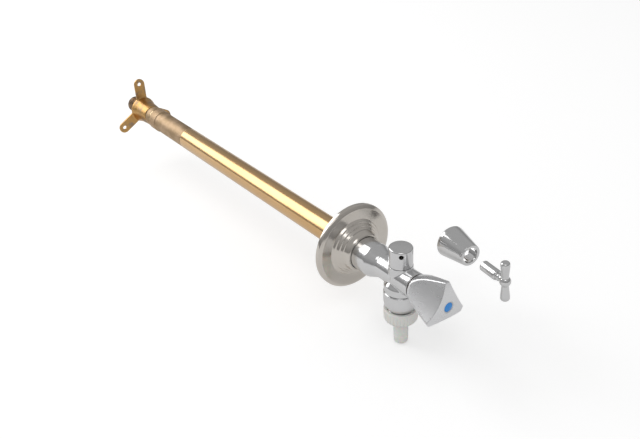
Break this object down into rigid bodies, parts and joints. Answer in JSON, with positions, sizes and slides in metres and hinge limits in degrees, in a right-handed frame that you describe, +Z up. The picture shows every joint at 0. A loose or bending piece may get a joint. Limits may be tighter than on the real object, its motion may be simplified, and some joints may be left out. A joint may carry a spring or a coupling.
{
  "type": "frost free sillcock",
  "caption": "Wall tap with a long brass tube that puts the valve behind a lugged wall plate, a three-sided front handle and a hose union hanging from the spout.",
  "frame": {"origin": "centre of the three bolt holes, on the front face of the wall plate", "axes": "+Y along the tap axis towards the inlet inside the building, so the handle is at -Y; +Z up, the spout hangs along -Z; +X to the right of someone facing the handle's back, the side of the loose set"},
  "size_m": [0.1364, 0.6277, 0.1174],
  "materials": {
    "cast_brass": "cast, lightly tumbled",
    "nozzle_brass": "machined, oiled",
    "matt_brass": "matt, pickled",
    "bright_brass": "polished drawn tube",
    "valve_brass": "machined",
    "seal_rubber": "smooth moulded",
    "valve_plastic": "moulded",
    "spring_steel": "drawn wire",
    "chrome": "polished plating",
    "loose_chrome": "polished plating",
    "handle_chrome": "satin plating",
    "rosette_steel": "satin pressed sheet",
    "union_plastic": "moulded",
    "tail_plastic": "moulded, slightly milky",
    "index_plastic": "glossy"
  },
  "bodies": {
    "tap_body": {"wall_plate": "cast_brass", "inlet_nozzle": "nozzle_brass", "rear_sleeve": "matt_brass", "valve_seat": "valve_brass", "sleeve_gasket": "seal_rubber", "outer_tube": "bright_brass", "tube_seals": "seal_rubber", "front_body": "chrome", "bonnet": "valve_brass", "bonnet_seal": "seal_rubber", "air_cap": "chrome", "cap_seal": "seal_rubber", "air_valve_cage": "valve_plastic", "air_valve_seat": "valve_plastic", "outlet_housing": "chrome", "housing_seal": "seal_rubber", "check_valve_body": "valve_plastic", "check_valve_spring": "spring_steel", "hose_washer": "seal_rubber", "hose_tail": "tail_plastic", "cone_sleeve": "loose_chrome"},
    "rosette": {"rosette": "rosette_steel", "rosette_ring": "valve_plastic"},
    "handle": {"handle": "handle_chrome", "spline_insert": "valve_plastic", "handle_screw": "spring_steel", "index_cap": "index_plastic", "spindle": "valve_brass", "stem_seals": "seal_rubber", "slip_washer": "valve_plastic", "spindle_clip": "spring_steel"},
    "valve_rod": {"rod_coupling": "valve_brass", "valve_rod": "valve_brass", "rod_guides": "valve_plastic", "valve_head": "valve_brass", "valve_washer": "seal_rubber", "washer_nut": "valve_brass"},
    "air_float": {"air_valve_float": "valve_plastic"},
    "check_poppet": {"check_poppet": "valve_plastic", "poppet_seal": "seal_rubber"},
    "union_nut": {"union_nut": "union_plastic"},
    "key": {"key": "loose_chrome"}
  },
  "joints": [
    {"name": "handle_turn", "type": "hinge", "parent": "tap_body", "child": "handle", "pos_m": [0, -0.56, 0], "axis": [0, -1, 0], "range_deg": [0, 648]},
    {"name": "valve_slide", "type": "slide", "parent": "tap_body", "child": "valve_rod", "axis": [0, -1, 0], "range_m": [0, 0.0045]},
    {"name": "rosette_slide", "type": "slide", "parent": "tap_body", "child": "rosette", "axis": [0, 1, 0], "range_m": [-0.015, 0.01]},
    {"name": "air_float_lift", "type": "slide", "parent": "tap_body", "child": "air_float", "axis": [0, 0, 1], "range_m": [0, 0.002]},
    {"name": "check_poppet_drop", "type": "slide", "parent": "tap_body", "child": "check_poppet", "axis": [0, 0, -1], "range_m": [0, 0.004], "stiffness_N_per_m": 60, "springref_m": -0.003, "deforming": ["check_valve_spring"]},
    {"name": "nut_spin", "type": "hinge", "parent": "tap_body", "child": "union_nut", "pos_m": [0, -0.528, 0], "axis": [0, 0, 1], "continuous": true},
    {"name": "key_slide", "type": "slide", "parent": "tap_body", "child": "key", "axis": [0.134, 0.991, 0], "range_m": [0, 0.04]}
  ],
  "couplings": [
    {"joint": "valve_slide", "follows": "handle_turn", "m_per_rad": 0.00039789}
  ]
}
